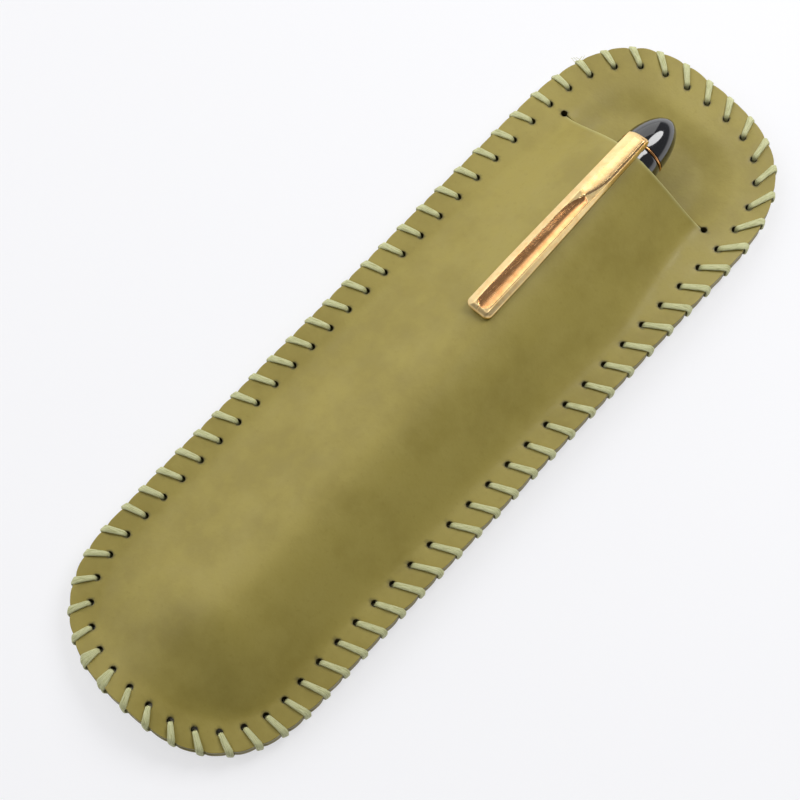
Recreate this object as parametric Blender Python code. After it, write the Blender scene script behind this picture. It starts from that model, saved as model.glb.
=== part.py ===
# Leather pen case: two olive leather panels, whip-stitched all round, with a capped pen in the pocket.
# +Y runs toward the mouth, +Z is the front, and the origin is under the middle, on the rest plane.
# Lengths are in metres. A name that ends in share or shares holds a part of another size.

import math

import bmesh
import bpy
from mathutils import Vector

# The leather outline: straight sides between two rounded ends. Its length follows from the pen, further down.
half_width = 0.026
bottom_end_length = 0.0257
top_end_length = 0.032
bottom_end_power = 2.44
top_end_power = 2.85
side_steps = 18
end_steps = 22

# The two panels.
leather = 0.0014
layer_gap = 0.0003
rim_band = 0.0056
dish_outer_inset = 0.0078
dish_inner_inset = 0.015
end_dish_inset = 0.0195
side_lift = 0.0022
end_lift = 0.001
lift_start = 0.04
lift_end = 0.072

# The tail of the pen lifts the middle of the bottom seam into a low ridge.
ridge_x = 0.0015
ridge_height = 0.0026
ridge_half_width = 0.018
ridge_length = 0.019

# The slit across the front panel, where the pen goes in.
slit_inset = 0.0248
slit_end_inset = 0.0079
slit_x = -0.0007
slit_kerf = 0.0004
stop_hole_radius = 0.0008
lip_pull_back = 0.002
lip_pull_fade = 0.045

# The raised pocket over the pen. Below the cap the moulded leather nearly keeps its height.
pen_foot_room = 0.0207
lip_flat_length = 0.001
lip_reach_fade = 0.03
pocket_margin = 0.0006
crest_level_length = 0.012
crest_fall = 0.001
crest_shift = 0.0029
crest_shift_fade = 0.069
crest_power = 1.75
foot_power = 1.55

# The stitching. The lead shares say how far the hand-set stitches run ahead of an even spacing,
# in stitch lengths, at equal steps round the outline.
stitch_count = 74
stitch_lead_shares = (-0.03, -0.1, 0.66, 0.97, 1.03, 1.48, 1.43, 1.05)
stitch_inset = 0.0041
stitch_hole_radius = 0.00085
stitch_lean = 0.0029
thread_width = 0.0011
thread_thickness = 0.0005
thread_gap = 0.00025
thread_corner = 0.0003
thread_end_gap = 0.0004
punch_overrun = 0.002
arc_samples = 10

# The pen, along its own axis: stations run from the mouth of the cap toward the rounded tip.
pen_x = -0.00085
pen_yaw_degrees = 0.6
fit_gap = 0.0003
cap_radius = 0.0056
cap_mouth_radius = 0.0054
cap_lip_radius = 0.00535
cap_top_radius = 0.00505
cap_bore = 0.0046
cap_tube_length = 0.0552
cap_end_wall = 0.0102
cap_swell_length = 0.004
cap_slim_length = 0.0142
cap_neck_length = 0.0017
ring_width = 0.0008
ring_radius = 0.0052
ring_stand_out = 0.0018
finial_length = 0.008
stud_radius = 0.0018
stud_length = 0.0075
liner_length = 0.021
liner_wall = 0.0007
barrel_length = 0.0688
barrel_radius = 0.0051
barrel_tail_radius = 0.00265
barrel_round_length = 0.0035
tenon_radius = 0.0043
tenon_length = 0.006
barrel_bore = 0.0031
barrel_bore_depth = 0.03
grip_length = 0.0145
grip_front_radius = 0.0037
grip_waist_radius = 0.0034
grip_root_radius = 0.0043
grip_bore = 0.00285
grip_bore_depth = 0.008
grip_stud_length = 0.007
ink_channel_radius = 0.0009
nib_radius = 0.0024
nib_thickness = 0.00025
nib_length = 0.0235
nib_shoulder_share = 0.55
feed_radius = 0.0019
feed_length = 0.02
converter_radius = 0.0026
converter_length = 0.021

# The clip of the pen, which lies over the outside of the front panel.
clip_length = 0.0476
clip_ball_distance = 0.017
clip_roll_degrees = -5.0
clip_clearance = 0.0004
clip_root_width = 0.0047
clip_tip_width = 0.006
clip_height = 0.0014
clip_skirt_height = 0.0005
clip_left_crease_share = 0.36
clip_right_crease_share = 0.74
clip_channel_depth = 0.0003
clip_rib_height = 0.00035
clip_round_length = 0.0018
clip_stem_thickness = 0.0009
clip_stem_width = 0.0024
ball_radius = 0.0005

turn_steps = 24
small_turn_steps = 16
merge_distance = 0.00001
snap_distance = 0.0002

# Sizes that follow from the ones above.
ring_station = cap_tube_length + fit_gap
finial_station = ring_station + ring_width + fit_gap
cap_bore_depth = cap_tube_length - cap_end_wall
clip_root_station = ring_station + ring_width / 2
clip_tip_station = clip_root_station - clip_length
clip_ball_station = clip_root_station - clip_ball_distance
case_length = slit_inset + ring_station - ring_stand_out + barrel_length + pen_foot_room
slit_y = case_length / 2 - slit_inset
slit_half_length = half_width - slit_end_inset
cap_mouth_y = slit_y + ring_stand_out - ring_station
top_centre = case_length / 2 - top_end_length
bottom_centre = bottom_end_length - case_length / 2
rim_stack = 2 * leather + layer_gap
outline_count = 2 * (side_steps + end_steps)
thread_rise = thread_gap + thread_thickness / 2
pen_rest_height = leather + fit_gap + cap_radius
pen_clear_height = end_lift + rim_stack + thread_gap + thread_thickness + fit_gap + cap_radius
pen_slope_share = (pen_clear_height - pen_rest_height) / (case_length / 2 - cap_mouth_y)
pen_tilt = math.atan(pen_slope_share)
pen_yaw = math.radians(pen_yaw_degrees)
clip_base = cap_radius + pocket_margin + leather + clip_clearance


def smooth_share(value):
    """Rises from 0 to 1 with level ends as the value goes from 0 to 1."""
    share = min(1.0, max(0.0, value))
    return share * share * (3.0 - 2.0 * share)


def blend(first, second, share):
    return first + (second - first) * share


def material(name, red, green, blue, roughness, metallic=0.0):
    made = bpy.data.materials.new(name)
    made.use_nodes = True
    shader = made.node_tree.nodes["Principled BSDF"]
    shader.inputs["Base Color"].default_value = (red, green, blue, 1.0)
    shader.inputs["Roughness"].default_value = roughness
    shader.inputs["Metallic"].default_value = metallic
    made.diffuse_color = (red, green, blue, 1.0)
    return made


def add_object(name, mesh_builder, surface, smooth_degrees=None):
    """Turns a bmesh into a named object with outward faces."""
    bmesh.ops.recalc_face_normals(mesh_builder, faces=mesh_builder.faces[:])
    mesh = bpy.data.meshes.new(name)
    mesh_builder.to_mesh(mesh)
    mesh_builder.free()
    if smooth_degrees:
        mesh.shade_smooth()
        mesh.set_sharp_from_angle(angle=math.radians(smooth_degrees))
    made = bpy.data.objects.new(name, mesh)
    bpy.context.scene.collection.objects.link(made)
    if surface:
        mesh.materials.append(surface)
    return made


# The outline and the surfaces of the two panels


def end_radius(angle, end_length, power):
    """Distance from an end's centre to the outline, in the direction of the angle."""
    across_share = abs(math.cos(angle)) / half_width
    along_share = abs(math.sin(angle)) / end_length
    return (across_share ** power + along_share ** power) ** (-1.0 / power)


def outline_point(position, inset):
    """A point on the outline drawn in by the inset. Positions run counter-clockwise, 0 at the right side's foot."""
    place = position % outline_count
    if place < side_steps:
        return Vector((half_width - inset, blend(bottom_centre, top_centre, place / side_steps)))
    place -= side_steps
    if place < end_steps:
        angle = math.pi * place / end_steps
        radius = end_radius(angle, top_end_length, top_end_power) - inset
        return Vector((radius * math.cos(angle), top_centre + radius * math.sin(angle)))
    place -= end_steps
    if place < side_steps:
        return Vector((inset - half_width, blend(top_centre, bottom_centre, place / side_steps)))
    angle = math.pi + math.pi * (place - side_steps) / end_steps
    radius = end_radius(angle, bottom_end_length, bottom_end_power) - inset
    return Vector((radius * math.cos(angle), bottom_centre + radius * math.sin(angle)))


def inset_at(x, y):
    """How far a place lies inside the outline."""
    past = max(y - top_centre, bottom_centre - y, 0.0)
    radius = math.hypot(x, past)
    if past == 0.0 or radius < merge_distance:
        return half_width - abs(x)
    angle = math.atan2(past, x)
    if y > 0.0:
        return end_radius(angle, top_end_length, top_end_power) - radius
    return end_radius(angle, bottom_end_length, bottom_end_power) - radius


def half_width_at(y):
    """Half of the outline's width at a station along the case."""
    if y > top_centre:
        share = min(1.0, (y - top_centre) / top_end_length)
        return half_width * (1.0 - share ** top_end_power) ** (1.0 / top_end_power)
    if y < bottom_centre:
        share = min(1.0, (bottom_centre - y) / bottom_end_length)
        return half_width * (1.0 - share ** bottom_end_power) ** (1.0 / bottom_end_power)
    return half_width


def ridge_fade(y):
    """Grows from 0 to 1 as a station nears the bottom end."""
    return smooth_share((bottom_centre - y) / ridge_length)


def rim_lift(x, y):
    """Height of the rim's underside: the pen lifts the two sides, and its tail the middle of the bottom end."""
    share = smooth_share((abs(y) - lift_start) / (lift_end - lift_start))
    across = 1.0 - smooth_share(abs(x - ridge_x) / ridge_half_width)
    return blend(side_lift, end_lift, share) + ridge_height * across * ridge_fade(y)


def back_height(x, y):
    """Underside of the back panel: flat in the middle, rising to the rim."""
    inner = blend(dish_inner_inset, end_dish_inset, ridge_fade(y))
    share = smooth_share((inner - inset_at(x, y)) / (inner - dish_outer_inset))
    return rim_lift(x, y) * share


def pen_height(y):
    return pen_rest_height + (y - cap_mouth_y) * pen_slope_share


def pen_centre(y):
    return pen_x - (y - slit_y) * math.tan(pen_yaw)


def crest_centre(y):
    """The crest leaves the pen's own line below the slit."""
    return pen_centre(y) + crest_shift * smooth_share((slit_y - y) / crest_shift_fade)


def crest_height(y):
    """Top of the pocket: it climbs with the cap, and levels out softly below the cap's mouth."""
    past = y - cap_mouth_y
    level = cap_mouth_y + (past + math.hypot(past, crest_level_length)) / 2
    fall = crest_fall * smooth_share(-past / (cap_mouth_y - bottom_centre))
    return pen_height(level) + cap_radius + pocket_margin + leather - fall


def pocket_foot(y, side):
    """Where the pocket meets the flat rim on one side. It runs in to the end of the slit."""
    lip = side * slit_x + slit_half_length - lip_flat_length
    low = half_width_at(y) - rim_band
    return side * min(low, blend(lip, low, smooth_share((slit_y - y) / lip_reach_fade)))


def pocket_rise(x, y):
    """Height of the front panel's pocket above its own rim: a crest with full flanks and a rounded bottom end."""
    along = max(y, bottom_centre)
    centre = crest_centre(along)
    height = crest_height(along) - rim_lift(x, y) - rim_stack
    if y >= bottom_centre:
        share = (x - centre) / (pocket_foot(y, 1.0 if x > centre else -1.0) - centre)
    else:
        angle = math.atan2(bottom_centre - y, x - centre)
        reach = end_radius(angle, bottom_end_length, bottom_end_power) - rim_band - centre * math.cos(angle)
        share = math.hypot(x - centre, bottom_centre - y) / reach
    return height * (1.0 - min(1.0, share) ** crest_power) ** foot_power


def flat_blank():
    """A flat leather blank: a band round the rim and one large face inside it."""
    blank = bmesh.new()
    rings = []
    for inset in (0.0, rim_band):
        points = [outline_point(position, inset) for position in range(outline_count)]
        rings.append([blank.verts.new((point.x, point.y, 0.0)) for point in points])
    for position in range(outline_count):
        after = (position + 1) % outline_count
        blank.faces.new((rings[0][position], rings[0][after], rings[1][after], rings[1][position]))
    blank.faces.new(rings[1])
    return blank


def cut_faces(blank, faces, place, direction):
    """Cuts the given faces along one straight line."""
    geometry = set(faces)
    for face in faces:
        geometry.update(face.edges)
        geometry.update(face.verts)
    bmesh.ops.bisect_plane(blank, geom=list(geometry), dist=snap_distance, plane_co=place, plane_no=direction)


def inner_faces(blank):
    found = []
    for face in blank.faces:
        middle = face.calc_center_median()
        if inset_at(middle.x, middle.y) > rim_band:
            found.append(face)
    return found


def lay_grid(blank, columns, rows):
    """Cuts the inside of a blank into a grid that can be bent."""
    for x in columns:
        cut_faces(blank, inner_faces(blank), (x, 0.0, 0.0), (1.0, 0.0, 0.0))
    for y in rows:
        cut_faces(blank, inner_faces(blank), (0.0, y, 0.0), (0.0, 1.0, 0.0))


def open_slit(blank):
    """Takes out the narrow strip of faces between the two ends of the slit."""
    strip = []
    for face in blank.faces:
        middle = face.calc_center_median()
        if abs(middle.y - slit_y) < slit_kerf / 2 and abs(middle.x - slit_x) < slit_half_length:
            strip.append(face)
    bmesh.ops.delete(blank, geom=strip, context="FACES")


def thicken(panel, offset):
    shell = panel.modifiers.new("thickness", "SOLIDIFY")
    shell.thickness = leather
    shell.offset = offset
    shell.use_even_offset = True
    panel.modifiers.new("flat faces", "TRIANGULATE")


def punch(panel, cutter):
    hole = panel.modifiers.new("punch " + cutter.name, "BOOLEAN")
    hole.operation = "DIFFERENCE"
    hole.solver = "EXACT"
    hole.object = cutter


def grid_columns():
    """Lines along the case, the same on both panels so that the flap lies flat on the back."""
    reach = half_width - rim_band
    shares = (-0.82, -0.69, -0.55, -0.41, -0.27, -0.14, 0.0, 0.12, 0.24, 0.37, 0.5, 0.64, 0.79)
    columns = [pen_x + reach * share for share in shares]
    return columns + [slit_x - slit_half_length, slit_x + slit_half_length]


def flap_rows():
    """Lines across the case along the slit and between it and the top edge."""
    last = case_length / 2 - dish_outer_inset
    rows = [blend(slit_y, last, share) for share in (0.25, 0.6, 0.8, 1.0)]
    return [slit_y - slit_kerf / 2, slit_y + slit_kerf / 2] + rows


def build_back_panel(surface):
    blank = flat_blank()
    foot_rows = [inset - case_length / 2 for inset in (dish_outer_inset, dish_inner_inset, end_dish_inset)]
    rows = foot_rows + [-(lift_start + lift_end) / 2, -lift_start, lift_start] + flap_rows()
    lay_grid(blank, grid_columns(), rows)
    bmesh.ops.triangulate(blank, faces=blank.faces[:])
    for vert in blank.verts:
        vert.co.z = back_height(vert.co.x, vert.co.y)
    panel = add_object("back_panel", blank, surface)
    thicken(panel, 1.0)
    return panel


def build_front_panel(surface):
    blank = flat_blank()
    foot_y = rim_band - case_length / 2
    end_rows = [blend(foot_y, bottom_centre, share) for share in (0.07, 0.22, 0.4, 0.6, 0.8, 1.0)]
    body_rows = [blend(bottom_centre, cap_mouth_y, share) for share in (0.2, 0.4, 0.6, 0.8, 1.0)]
    lip_rows = [blend(cap_mouth_y, slit_y, share) for share in (0.35, 0.6, 0.8, 0.93)]
    lay_grid(blank, grid_columns(), end_rows + body_rows + lip_rows + flap_rows())
    open_slit(blank)
    bmesh.ops.triangulate(blank, faces=blank.faces[:])
    for vert in blank.verts:
        x, y = vert.co.x, vert.co.y
        if y < slit_y:
            rise = pocket_rise(x, y)
            top = rim_lift(x, y) + rise
            crest = max(pocket_rise(crest_centre(y), y), merge_distance)
            fade = max(0.0, 1.0 - (slit_y - y) / lip_pull_fade)
            vert.co.y -= lip_pull_back * fade * rise / crest
        else:
            top = back_height(x, y)
        vert.co.z = top + rim_stack
    panel = add_object("front_panel", blank, surface)
    thicken(panel, -1.0)
    return panel


# The stitches


def stitch_track():
    """Positions on the outline with the length of the stitching line up to each of them."""
    track = [(0.0, 0.0)]
    length = 0.0
    last = outline_point(0.0, stitch_inset)
    for sample in range(1, outline_count * arc_samples + 1):
        position = sample / arc_samples
        point = outline_point(position, stitch_inset)
        length += (point - last).length
        track.append((position, length))
        last = point
    return track


def position_at(track, length):
    """The outline position that lies at a length along the stitching line."""
    total = track[-1][1]
    wanted = length % total
    low, high = 0, len(track) - 1
    while high - low > 1:
        middle = (low + high) // 2
        if track[middle][1] <= wanted:
            low = middle
        else:
            high = middle
    span = track[high][1] - track[low][1]
    return blend(track[low][0], track[high][0], (wanted - track[low][1]) / span)


def stitch_start(track, stitch):
    """Length along the stitching line up to a stitch's hole."""
    steps = len(stitch_lead_shares)
    place = (stitch % stitch_count) / stitch_count * steps
    step = int(place)
    lead = blend(stitch_lead_shares[step], stitch_lead_shares[(step + 1) % steps], place - step)
    return (stitch + lead) * track[-1][1] / stitch_count


def stitch_place(track, stitch):
    return outline_point(position_at(track, stitch_start(track, stitch)), stitch_inset)


def build_punch(name, places, radius, sides):
    """One cutter made of upright prisms, one for each hole."""
    cutter = bmesh.new()
    top = side_lift + rim_stack + punch_overrun
    for place in places:
        ring = []
        for corner in range(sides):
            angle = 2 * math.pi * (corner + 0.5) / sides
            point = (place.x + radius * math.cos(angle), place.y + radius * math.sin(angle), -punch_overrun)
            ring.append(cutter.verts.new(point))
        face = cutter.faces.new(ring)
        lifted = bmesh.ops.extrude_face_region(cutter, geom=[face])
        verts = [item for item in lifted["geom"] if isinstance(item, bmesh.types.BMVert)]
        bmesh.ops.translate(cutter, verts=verts, vec=(0.0, 0.0, top + punch_overrun))
    made = add_object(name, cutter, None)
    made.hide_render = True
    made.display_type = "WIRE"
    return made


def along_rim(point, side):
    """Tips a level direction so that it follows the slope of the rim."""
    half = side * thread_width / 2
    slope = rim_lift(point.x + half.x, point.y + half.y) - rim_lift(point.x - half.x, point.y - half.y)
    return Vector((side.x, side.y, slope / thread_width))


def thread_route(track):
    """Points of the thread with its side direction: up through a hole, over the edge and back underneath."""
    outward = thread_rise
    route = []
    for stitch in range(stitch_count):
        hole = stitch_place(track, stitch)
        crossing = position_at(track, stitch_start(track, stitch) + stitch_lean)
        edge = outline_point(crossing, -outward)
        shoulder = outline_point(crossing, thread_corner - outward)
        after = stitch_place(track, stitch + 1)
        low = rim_lift(hole.x, hole.y) - thread_rise
        high = rim_lift(hole.x, hole.y) + rim_stack + thread_rise
        edge_low = rim_lift(edge.x, edge.y) - thread_rise
        edge_high = rim_lift(edge.x, edge.y) + rim_stack + thread_rise
        run_out = (edge - hole).normalized()
        run_back = (after - edge).normalized()
        side_out = Vector((-run_out.y, run_out.x, 0.0))
        side_back = Vector((run_back.y, -run_back.x, 0.0))
        side_edge = (side_out + side_back).normalized()
        before = outline_point(position_at(track, stitch_start(track, stitch - 1) + stitch_lean), -outward)
        run_in = (hole - before).normalized()
        side_in = Vector((run_in.y, -run_in.x, 0.0))
        route.append((Vector((hole.x, hole.y, low)), side_in))
        route.append((Vector((hole.x, hole.y, high)), side_out))
        route.append((Vector((shoulder.x, shoulder.y, edge_high)), side_out))
        route.append((Vector((edge.x, edge.y, edge_high - thread_corner)), side_edge))
        route.append((Vector((edge.x, edge.y, edge_low + thread_corner)), side_edge))
        route.append((Vector((shoulder.x, shoulder.y, edge_low)), side_back))
    return route


def build_thread(track, surface):
    """One flat thread that starts and ends inside the first hole."""
    route = thread_route(track)
    low, low_side = route[0]
    high, high_side = route[1]
    middle = (low + high) / 2
    half_gap = Vector((0.0, 0.0, thread_end_gap / 2))
    route = [(middle + half_gap, high_side)] + route[1:] + [(low, low_side), (middle - half_gap, high_side)]
    thread = bmesh.new()
    rings = []
    for index, (point, side) in enumerate(route):
        arriving = (point - route[index - 1][0]).normalized() if index > 0 else None
        leaving = (route[index + 1][0] - point).normalized() if index < len(route) - 1 else None
        if arriving is None:
            arriving = leaving
        if leaving is None:
            leaving = arriving
        along = (arriving + leaving).normalized()
        half_turn = math.sqrt((1.0 + arriving.dot(leaving)) / 2)
        side = along_rim(point, side)
        across = (side - along * side.dot(along)).normalized()
        thick = across.cross(along).normalized() * (thread_thickness / 2 / half_turn)
        wide = across * (thread_width / 2)
        corners = (point - wide - thick, point + wide - thick, point + wide + thick, point - wide + thick)
        rings.append([thread.verts.new(corner) for corner in corners])
    for ring, after in zip(rings, rings[1:]):
        for corner in range(4):
            other = (corner + 1) % 4
            thread.faces.new((ring[corner], ring[other], after[other], after[corner]))
    thread.faces.new(rings[0])
    thread.faces.new(rings[-1])
    return add_object("stitching_thread", thread, surface)


# The pen


def turned(name, profile, surface, parent, steps=turn_steps):
    """A piece turned about the pen's axis from a closed outline of (radius, station) points."""
    piece = bmesh.new()
    verts = [piece.verts.new((radius, station, 0.0)) for radius, station in profile]
    edges = [piece.edges.new((verts[index - 1], verts[index])) for index in range(len(verts))]
    turning_edges = [edge for edge in edges if max(abs(vert.co.x) for vert in edge.verts) > merge_distance]
    bmesh.ops.spin(
        piece, geom=verts + turning_edges, axis=(0.0, 1.0, 0.0), cent=(0.0, 0.0, 0.0),
        angle=2 * math.pi, steps=steps, use_merge=True,
    )
    bmesh.ops.remove_doubles(piece, verts=piece.verts[:], dist=merge_distance)
    loose = [edge for edge in piece.edges if not edge.link_faces]
    bmesh.ops.delete(piece, geom=loose, context="EDGES")
    made = add_object(name, piece, surface, 35)
    made.parent = parent
    return made


def build_cap(resin, metal, pen):
    wall_top = cap_tube_length
    bore = stud_radius + fit_gap
    turned("cap_tube", [
        (cap_bore, 0.0),
        (cap_mouth_radius, 0.0),
        (cap_radius, cap_swell_length),
        (cap_radius, wall_top - cap_slim_length),
        (cap_lip_radius, wall_top - cap_neck_length),
        (cap_top_radius, wall_top),
        (bore, wall_top),
        (bore, cap_bore_depth),
        (cap_bore, cap_bore_depth),
    ], resin, pen)
    turned("clip_ring", [
        (bore, ring_station),
        (cap_top_radius, ring_station),
        (ring_radius, ring_station + ring_width / 4),
        (ring_radius, ring_station + ring_width * 3 / 4),
        (cap_top_radius, ring_station + ring_width),
        (bore, ring_station + ring_width),
    ], metal, pen)
    dome = [(0.0, finial_station - stud_length), (stud_radius, finial_station - stud_length)]
    dome += [(stud_radius, finial_station), (cap_top_radius, finial_station)]
    for share in (0.22, 0.42, 0.6, 0.76, 0.89, 0.97):
        radius = cap_top_radius * (1.0 - share ** 2.2) ** 0.6
        dome.append((radius, finial_station + finial_length * share))
    dome.append((0.0, finial_station + finial_length))
    turned("cap_finial", dome, resin, pen)
    liner_outer = cap_bore - fit_gap
    liner_start = cap_bore_depth - fit_gap - liner_length
    turned("inner_cap", [
        (liner_outer - liner_wall, liner_start),
        (liner_outer, liner_start),
        (liner_outer, cap_bore_depth - fit_gap),
        (liner_outer - liner_wall, cap_bore_depth - fit_gap),
    ], resin, pen, small_turn_steps)


def build_barrel(resin, parent):
    tail = -barrel_length
    full_tail = tail + barrel_round_length
    turned("barrel", [
        (0.0, tail),
        (barrel_tail_radius * 0.6, tail + barrel_round_length * 0.12),
        (barrel_tail_radius * 0.92, tail + barrel_round_length * 0.5),
        (barrel_tail_radius, full_tail),
        (barrel_radius, -fit_gap - barrel_round_length),
        (barrel_radius, -fit_gap),
        (tenon_radius, -fit_gap),
        (tenon_radius, tenon_length),
        (barrel_bore, tenon_length),
        (barrel_bore, -barrel_bore_depth),
        (0.0, -barrel_bore_depth),
    ], resin, parent)


def build_grip(resin, parent):
    root = tenon_length + fit_gap
    front = root + grip_length
    stud = barrel_bore - fit_gap
    turned("grip_section", [
        (ink_channel_radius, root - grip_stud_length),
        (stud, root - grip_stud_length),
        (stud, root),
        (grip_root_radius, root),
        (blend(grip_root_radius, grip_waist_radius, 0.7), blend(root, front, 0.35)),
        (grip_waist_radius, blend(root, front, 0.72)),
        (grip_front_radius, blend(root, front, 0.93)),
        (grip_front_radius, front),
        (grip_bore, front),
        (grip_bore, front - grip_bore_depth),
        (ink_channel_radius, front - grip_bore_depth),
    ], resin, parent)
    return front


def build_feed(resin, parent, front):
    root = front - grip_bore_depth + fit_gap
    turned("feed", [
        (0.0, root),
        (feed_radius, root),
        (feed_radius, root + feed_length * 0.55),
        (feed_radius * 0.6, root + feed_length * 0.9),
        (feed_radius * 0.3, root + feed_length),
        (0.0, root + feed_length),
    ], resin, parent, small_turn_steps)


def build_nib(metal, parent, front):
    """A curved sheet that narrows from its shoulders to the point."""
    root = front - grip_bore_depth + fit_gap
    sheet = bmesh.new()
    rows = []
    wrap = math.radians(75)
    for share in (0.0, 0.3, nib_shoulder_share, 0.7, 0.85, 0.97):
        narrowing = 1.0 if share <= nib_shoulder_share else (1.0 - share) / (1.0 - nib_shoulder_share)
        row = []
        for step in range(-3, 4):
            angle = wrap * narrowing ** 0.8 * step / 3
            point = (nib_radius * math.sin(angle), root + nib_length * share, nib_radius * math.cos(angle))
            row.append(sheet.verts.new(point))
        rows.append(row)
    for row, after in zip(rows, rows[1:]):
        for step in range(6):
            sheet.faces.new((row[step], row[step + 1], after[step + 1], after[step]))
    nib = add_object("nib", sheet, metal, 35)
    nib.parent = parent
    shell = nib.modifiers.new("thickness", "SOLIDIFY")
    shell.thickness = nib_thickness
    shell.offset = 0.0


def build_converter(resin, parent):
    back = tenon_length + fit_gap - grip_stud_length - fit_gap
    turned("ink_converter", [
        (0.0, back - converter_length),
        (converter_radius * 0.8, back - converter_length),
        (converter_radius, back - converter_length * 0.9),
        (converter_radius, back - converter_length * 0.1),
        (converter_radius * 0.8, back),
        (0.0, back),
    ], resin, parent, small_turn_steps)


def clip_width(station):
    share = (station - clip_tip_station) / (clip_root_station - clip_tip_station)
    return blend(clip_tip_width, clip_root_width, share)


def clip_outline(width, top, floor):
    """A cut across the clip as (across, up) pairs: two unlike bevels with a hollow or a rib between them."""
    half = width / 2
    skirt = clip_skirt_height * top / clip_height
    left, right = -half * clip_left_crease_share, half * clip_right_crease_share
    cut = [(half, 0.0), (half, skirt), (right, top)]
    for share in (0.2, 0.4, 0.6, 0.8):
        cut.append((blend(right, left, share), blend(top, floor, 4 * share * (1 - share))))
    return cut + [(left, top), (-half, skirt), (-half, 0.0)]


def build_clip(metal, parent):
    """A formed strip, lofted from its rounded tip to its root, where it turns down to the ring."""
    rib = clip_height + clip_rib_height
    channel = clip_height - clip_channel_depth
    tip = clip_tip_station
    bend = ring_station + ring_width / 2 - clip_stem_thickness / 2
    straight_cuts = [
        (tip, 0.45, 0.45 * clip_height, 0.45 * clip_height),
        (tip + clip_round_length * 0.25, 0.8, 0.8 * clip_height, 0.8 * clip_height),
        (tip + clip_round_length, 1.0, clip_height, clip_height),
        (tip + clip_round_length * 1.4, 1.0, clip_height, channel),
        (clip_ball_station - ball_radius * 3, 1.0, clip_height, channel),
        (clip_ball_station - ball_radius, 1.0, clip_height, clip_height),
        (clip_ball_station + ball_radius * 2, 1.0, clip_height, rib),
        (bend - clip_round_length, 1.0, clip_height, rib),
        (bend - clip_height, 1.0, clip_height, clip_height),
    ]
    sections = []
    for station, width_share, top, floor in straight_cuts:
        cut = clip_outline(clip_width(station) * width_share, top, floor)
        sections.append([(across, station, clip_base + up) for across, up in cut])
    corner = clip_outline(clip_root_width, clip_stem_thickness, clip_stem_thickness)
    sections.append([(across, bend + up * 0.7, clip_base + up * 0.7) for across, up in corner])
    for depth_share, width in ((0.35, clip_root_width), (1.0, clip_stem_width)):
        height = blend(clip_base, ring_radius + fit_gap, depth_share)
        cut = clip_outline(width, clip_stem_thickness, clip_stem_thickness)
        sections.append([(across, bend + up, height) for across, up in cut])
    strip = bmesh.new()
    rings = [[strip.verts.new(point) for point in section] for section in sections]
    count = len(rings[0])
    for ring, after in zip(rings, rings[1:]):
        for corner in range(count):
            other = (corner + 1) % count
            strip.faces.new((ring[corner], ring[other], after[other], after[corner]))
    strip.faces.new(rings[0])
    strip.faces.new(rings[-1])
    clip = add_object("pocket_clip", strip, metal, 30)
    clip.parent = parent
    clip.rotation_euler = (0.0, math.radians(clip_roll_degrees), 0.0)
    return clip


def build_pen(resin, gold, steel):
    pen = bpy.data.objects.new("pen_axis", None)
    bpy.context.scene.collection.objects.link(pen)
    pen.location = (pen_centre(cap_mouth_y), cap_mouth_y, pen_height(cap_mouth_y))
    pen.rotation_euler = (pen_tilt, 0.0, pen_yaw)
    build_cap(resin, gold, pen)
    build_clip(gold, pen)
    build_barrel(resin, pen)
    front = build_grip(resin, pen)
    build_feed(resin, pen, front)
    build_nib(steel, pen, front)
    build_converter(resin, pen)


def build():
    for old in list(bpy.data.objects):
        bpy.data.objects.remove(old, do_unlink=True)
    olive = material("olive_leather", 0.32, 0.28, 0.10, 0.55)
    sage = material("sage_thread", 0.52, 0.55, 0.25, 0.6)
    resin = material("black_resin", 0.01, 0.011, 0.014, 0.08)
    gold = material("gold_plate", 0.86, 0.56, 0.24, 0.15, 1.0)
    steel = material("nib_metal", 0.8, 0.66, 0.4, 0.2, 1.0)

    track = stitch_track()
    stitch_places = [stitch_place(track, stitch) for stitch in range(stitch_count)]
    slit_ends = [Vector((slit_x + side * slit_half_length, slit_y)) for side in (-1, 1)]
    stitch_punch = build_punch("stitch_punch", stitch_places, stitch_hole_radius, 6)
    stop_punch = build_punch("stop_punch", slit_ends, stop_hole_radius, 8)

    back = build_back_panel(olive)
    punch(back, stitch_punch)
    front = build_front_panel(olive)
    punch(front, stop_punch)
    punch(front, stitch_punch)
    build_thread(track, sage)
    build_pen(resin, gold, steel)


build()
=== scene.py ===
# Looks for the stitched leather pen case with a capped pen in its pocket.
# Lengths are in metres. +Y runs toward the mouth of the case, +Z is its front.
from math import atan, atan2, copysign, cos, exp, hypot, pi, radians, sin, sqrt, tan

import bmesh
import bpy
from mathutils import Matrix, Vector, noise


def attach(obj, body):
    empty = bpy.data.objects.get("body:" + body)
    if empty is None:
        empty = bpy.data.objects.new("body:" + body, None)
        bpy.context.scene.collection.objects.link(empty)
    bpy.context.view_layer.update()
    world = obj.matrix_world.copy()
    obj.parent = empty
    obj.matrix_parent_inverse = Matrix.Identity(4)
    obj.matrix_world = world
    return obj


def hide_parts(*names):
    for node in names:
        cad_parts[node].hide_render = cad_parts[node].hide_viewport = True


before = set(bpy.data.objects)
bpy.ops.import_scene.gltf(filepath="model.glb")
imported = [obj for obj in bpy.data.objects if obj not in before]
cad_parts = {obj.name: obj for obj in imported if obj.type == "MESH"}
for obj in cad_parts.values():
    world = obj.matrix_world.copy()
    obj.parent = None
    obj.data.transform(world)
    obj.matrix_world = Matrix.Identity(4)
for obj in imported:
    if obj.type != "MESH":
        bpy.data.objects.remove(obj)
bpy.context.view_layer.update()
print("frame loaded")


def blend(first, second, share):
    return first + (second - first) * share


# 0 to 1 with soft ends
def ease(value):
    share = min(1.0, max(0.0, value))
    return share * share * (3.0 - 2.0 * share)


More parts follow.
